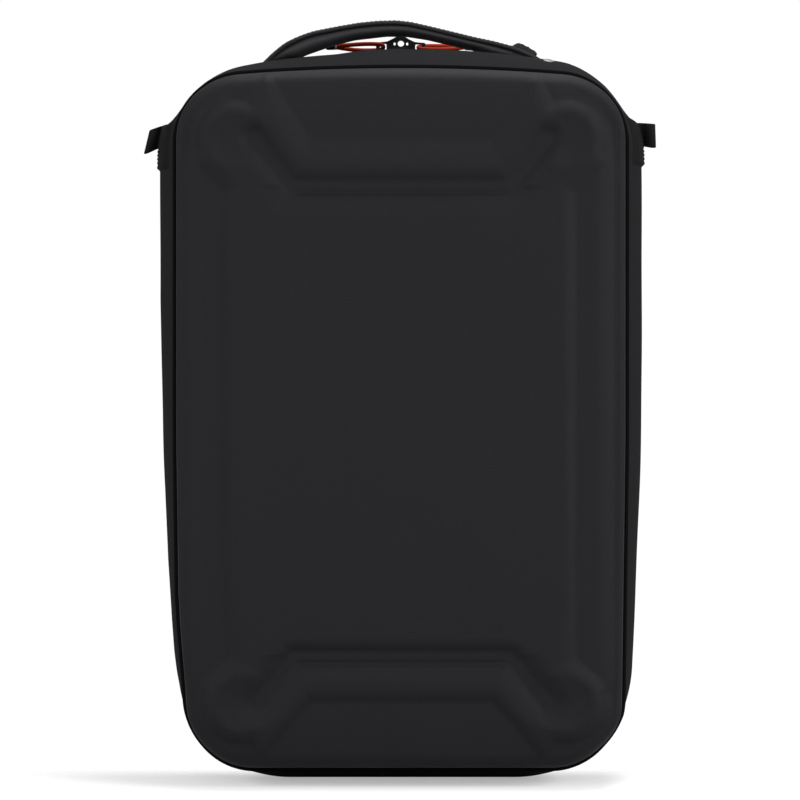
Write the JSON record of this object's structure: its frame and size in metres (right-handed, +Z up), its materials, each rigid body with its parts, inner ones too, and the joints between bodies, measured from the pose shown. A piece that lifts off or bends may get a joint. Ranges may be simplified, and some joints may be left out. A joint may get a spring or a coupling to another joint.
{
  "type": "drone carrying case",
  "caption": "Tall clamshell carrying case with a moulded front shell, zip, top handle and webbing loops, and a foam tray, dividers and a pocket inside.",
  "frame": {"origin": "on the ground, under the middle of the case", "axes": "+Z up, -Y towards the moulded front shell, +X to the right as seen from the front"},
  "size_m": [0.3668, 0.2, 0.5233],
  "materials": {
    "shell_fabric": "laminated woven polyester over moulded foam, matte with a faint sheen",
    "lining": "brushed knit lining",
    "piping": "black woven binding",
    "gusset_fabric": "coated twill fabric",
    "zip_tape": "woven zip tape with a coated face",
    "zip_coil": "black nylon coil",
    "board": "stiffener board",
    "foam": "closed-cell foam under brushed fabric",
    "divider_fabric": "padded divider, brushed nylon",
    "webbing": "ribbed nylon webbing",
    "handle_pad": "padded fabric roll",
    "slider_metal": "black painted zinc",
    "cord_orange": "braided orange-red cord",
    "cord_end": "moulded dark cord end",
    "cord_collar": "pale collar",
    "grey_rivet": "small grey button",
    "mesh": "open knit mesh",
    "back_fabric": "air mesh over foam padding"
  },
  "bodies": {
    "tub": {"front_shell": "shell_fabric", "shell_lining": "lining", "shell_piping": "piping", "tub_gusset": "gusset_fabric", "hinge_panel_tub": "gusset_fabric", "side_patch_left": "gusset_fabric", "side_patch_right": "gusset_fabric", "tub_zip_tape": "zip_tape", "hinge_tape": "zip_tape", "tub_zip_coil": "zip_coil", "zip_end_stops": "zip_coil", "base_stiffener": "board", "foam_floor": "foam", "foam_wall_top": "foam", "foam_wall_bottom": "foam", "foam_wall_left": "foam", "foam_wall_right": "foam", "drone_cradle": "foam", "divider_shelf": "divider_fabric", "divider_upright": "divider_fabric", "handle_end_left": "webbing", "handle_end_right": "webbing", "handle_fold_tab": "webbing", "strap_anchor": "webbing", "strap_catch": "webbing", "top_rivet": "grey_rivet"},
    "handle": {"handle_roll": "handle_pad", "handle_webbing": "webbing"},
    "loop_left": {"side_loop_left": "webbing"},
    "loop_right": {"side_loop_right": "webbing"},
    "zip_slider_left": {"slider_left": "slider_metal"},
    "zip_slider_right": {"slider_right": "slider_metal"},
    "pull_left": {"pull_cord_left": "cord_orange", "pull_collar_left": "cord_collar", "pull_end_left": "cord_end"},
    "pull_right": {"pull_cord_right": "cord_orange", "pull_collar_right": "cord_collar", "pull_end_right": "cord_end"},
    "strap": {"hold_down_strap": "webbing"},
    "battery_divider": {"divider_battery": "divider_fabric"},
    "accessory_divider": {"divider_accessory": "divider_fabric"},
    "pocket_zip_slider": {"pocket_slider": "slider_metal"},
    "pocket_zip_pull": {"pocket_pull": "cord_end"},
    "lid": {"lid_gusset": "gusset_fabric", "lid_zip_tape": "zip_tape", "lid_zip_coil": "zip_coil", "hinge_panel_lid": "gusset_fabric", "back_board": "board", "back_pad": "back_fabric", "back_binding": "piping", "lid_foam": "foam", "mesh_pocket": "mesh", "pocket_binding": "piping", "pocket_zip_tape": "zip_tape", "pocket_zip_coil": "zip_coil", "pocket_top_band": "lining"}
  },
  "joints": [
    {"name": "lid_opens", "type": "hinge", "parent": "tub", "child": "lid", "pos_m": [0, 0.004, 0], "axis": [-1, 0, 0], "range_deg": [0, 105]},
    {"name": "left_slider_runs", "type": "hinge", "parent": "tub", "child": "zip_slider_left", "pos_m": [0, 0.004, -0.198], "axis": [0, 1, 0], "range_deg": [-7, 0]},
    {"name": "right_slider_runs", "type": "hinge", "parent": "tub", "child": "zip_slider_right", "pos_m": [0, 0.004, -0.198], "axis": [0, 1, 0], "range_deg": [0, 7]},
    {"name": "left_pull_lifts", "type": "hinge", "parent": "zip_slider_left", "child": "pull_left", "pos_m": [-0.0124, 0.00275, 0.51005], "axis": [0, 1, 0], "range_deg": [0, 75]},
    {"name": "right_pull_lifts", "type": "hinge", "parent": "zip_slider_right", "child": "pull_right", "pos_m": [0.0124, 0.00525, 0.51005], "axis": [0, -1, 0], "range_deg": [0, 75]},
    {"name": "handle_leans", "type": "hinge", "parent": "tub", "child": "handle", "pos_m": [0, -0.0205, 0.502], "axis": [1, 0, 0], "range_deg": [-12, 18]},
    {"name": "left_loop_folds", "type": "hinge", "parent": "tub", "child": "loop_left", "pos_m": [-0.1688, -0.026, 0.44], "axis": [0, 0, 1], "range_deg": [-55, 55]},
    {"name": "right_loop_folds", "type": "hinge", "parent": "tub", "child": "loop_right", "pos_m": [0.1688, -0.026, 0.44], "axis": [0, 0, 1], "range_deg": [-55, 55]},
    {"name": "strap_lifts", "type": "hinge", "parent": "tub", "child": "strap", "pos_m": [-0.1154, -0.0373, 0.338], "axis": [0, 0, 1], "range_deg": [0, 20]},
    {"name": "battery_divider_moves", "type": "slide", "parent": "tub", "child": "battery_divider", "axis": [0, 0, 1], "range_m": [-0.03, 0.03]},
    {"name": "accessory_divider_moves", "type": "slide", "parent": "tub", "child": "accessory_divider", "axis": [0, 0, 1], "range_m": [-0.03, 0.03]},
    {"name": "pocket_slider_runs", "type": "slide", "parent": "lid", "child": "pocket_zip_slider", "axis": [1, 0, 0], "range_m": [0, 0.2]},
    {"name": "pocket_pull_lifts", "type": "hinge", "parent": "pocket_zip_slider", "child": "pocket_zip_pull", "pos_m": [-0.107, 0.0527, 0.3212], "axis": [-1, 0, 0], "range_deg": [0, 100]}
  ]
}
